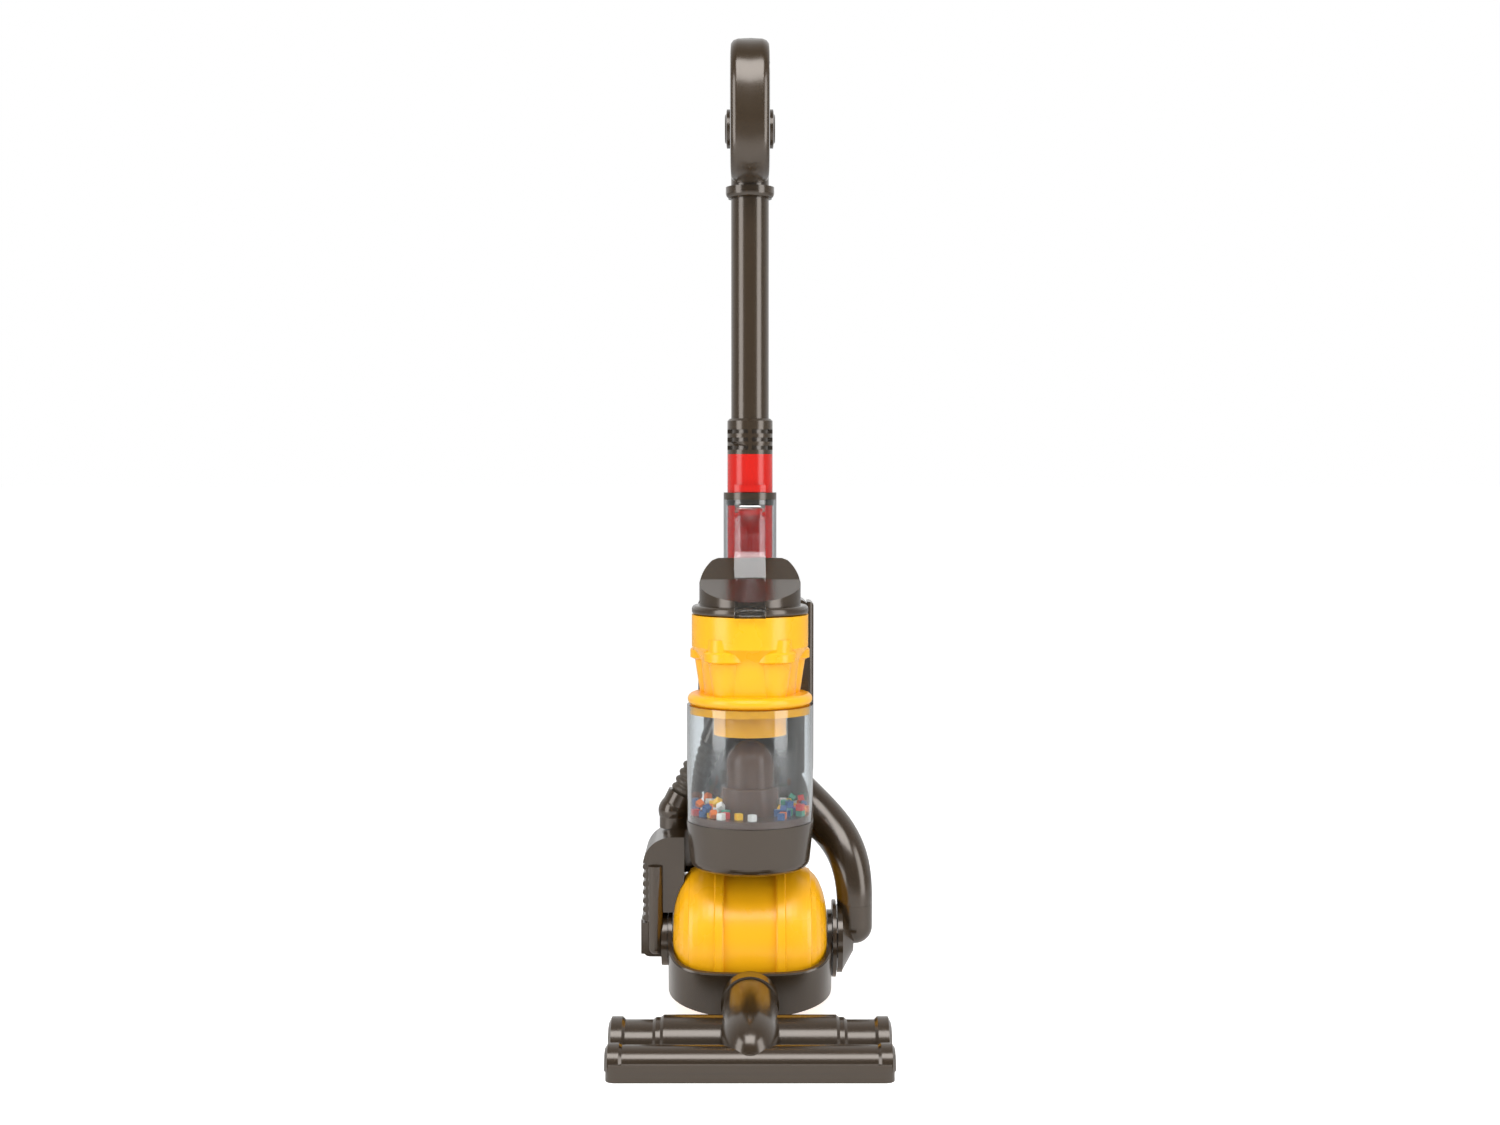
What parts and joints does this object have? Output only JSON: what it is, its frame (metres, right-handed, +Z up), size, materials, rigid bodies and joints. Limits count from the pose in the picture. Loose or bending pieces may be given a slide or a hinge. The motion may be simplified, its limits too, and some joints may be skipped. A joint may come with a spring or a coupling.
{
  "type": "toy vacuum cleaner",
  "caption": "Toy upright vacuum cleaner that rolls on a yellow ball, with a clear bin of coloured beads, a yellow cyclone and a lift-out wand with a loop handle",
  "frame": {"origin": "middle of the cleaner head's sole, on the floor", "axes": "+X to the right seen from the front, +Y to the back, +Z up; the front faces -Y"},
  "size_m": [0.184, 0.217, 0.6794],
  "materials": {
    "grey_plastic": "satin grey-brown with a fine metallic fleck",
    "dark_plastic": "glossy dark grey-brown",
    "yellow_plastic": "glossy warm yellow",
    "red_plastic": "glossy red",
    "clear_plastic": "clear, polished",
    "hose_plastic": "soft satin grey",
    "steel": "zinc-plated",
    "cell_case": "satin wrapped cell",
    "bead_red": "glossy",
    "bead_yellow": "glossy",
    "bead_white": "glossy",
    "bead_blue": "glossy",
    "bead_green": "glossy",
    "bead_orange": "glossy"
  },
  "bodies": {
    "head": {"head_cover": "grey_plastic", "head_sole": "grey_plastic", "head_screws": "steel", "elbow": "grey_plastic"},
    "yoke": {"yoke": "grey_plastic", "neck_collar": "grey_plastic", "axle": "steel"},
    "ball": {"ball_left": "yellow_plastic", "ball_right": "yellow_plastic", "ball_band": "yellow_plastic"},
    "wand": {"red_coupling": "red_plastic", "slotted_collar": "grey_plastic", "wand_tube": "grey_plastic", "handle_collar": "grey_plastic", "handle_left": "grey_plastic", "handle_right": "grey_plastic", "handle_discs": "grey_plastic", "handle_screws": "steel"},
    "catch": {"wand_catch": "red_plastic"},
    "fan": {"impeller": "dark_plastic"},
    "switch": {"power_switch": "red_plastic"},
    "body": {"bin_base": "grey_plastic", "bin_floor": "dark_plastic", "dome_skirt": "dark_plastic", "inner_dome": "dark_plastic", "clear_bin": "clear_plastic", "beads_yellow": "bead_yellow", "beads_red": "bead_red", "beads_white": "bead_white", "beads_blue": "bead_blue", "beads_green": "bead_green", "beads_orange": "bead_orange", "motor": "steel", "bin_lid": "yellow_plastic", "cyclone": "yellow_plastic", "flange_ring": "grey_plastic", "cyclone_cap": "grey_plastic", "carry_handle": "clear_plastic", "spine_front": "grey_plastic", "spine_back": "grey_plastic", "battery_door": "grey_plastic", "batteries": "cell_case", "battery_contacts": "steel", "door_screw": "steel", "case_screws": "steel", "wand_socket": "grey_plastic", "clear_sleeve": "clear_plastic", "sleeve_ring": "grey_plastic", "filter_housing": "grey_plastic", "exhaust_grille": "grey_plastic", "hose_cuff": "grey_plastic", "ribbed_hose": "hose_plastic", "hose_inlet": "grey_plastic", "side_duct": "grey_plastic", "duct_cap": "grey_plastic", "right_hub": "grey_plastic"}
  },
  "joints": [
    {"name": "head_swivel", "type": "hinge", "parent": "head", "child": "yoke", "pos_m": [0, 0.043, 0.028], "axis": [0, 1, 0], "range_deg": [-30, 30]},
    {"name": "ball_roll", "type": "hinge", "parent": "yoke", "child": "ball", "pos_m": [0, 0.126, 0.054], "axis": [1, 0, 0], "continuous": true},
    {"name": "body_recline", "type": "hinge", "parent": "yoke", "child": "body", "pos_m": [0, 0.126, 0.054], "axis": [-1, 0, 0], "range_deg": [0, 50]},
    {"name": "wand_lift", "type": "slide", "parent": "body", "child": "wand", "axis": [0, 0, 1], "range_m": [0, 0.06]},
    {"name": "catch_press", "type": "slide", "parent": "wand", "child": "catch", "axis": [0, 1, 0], "range_m": [0, 0.001], "stiffness_N_per_m": 500, "springref_m": -0.001},
    {"name": "fan_spin", "type": "hinge", "parent": "body", "child": "fan", "pos_m": [0, 0.098, 0.14], "axis": [0, 0, 1], "continuous": true},
    {"name": "switch_slide", "type": "slide", "parent": "body", "child": "switch", "axis": [1, 0, 0], "range_m": [0, 0.005]}
  ]
}
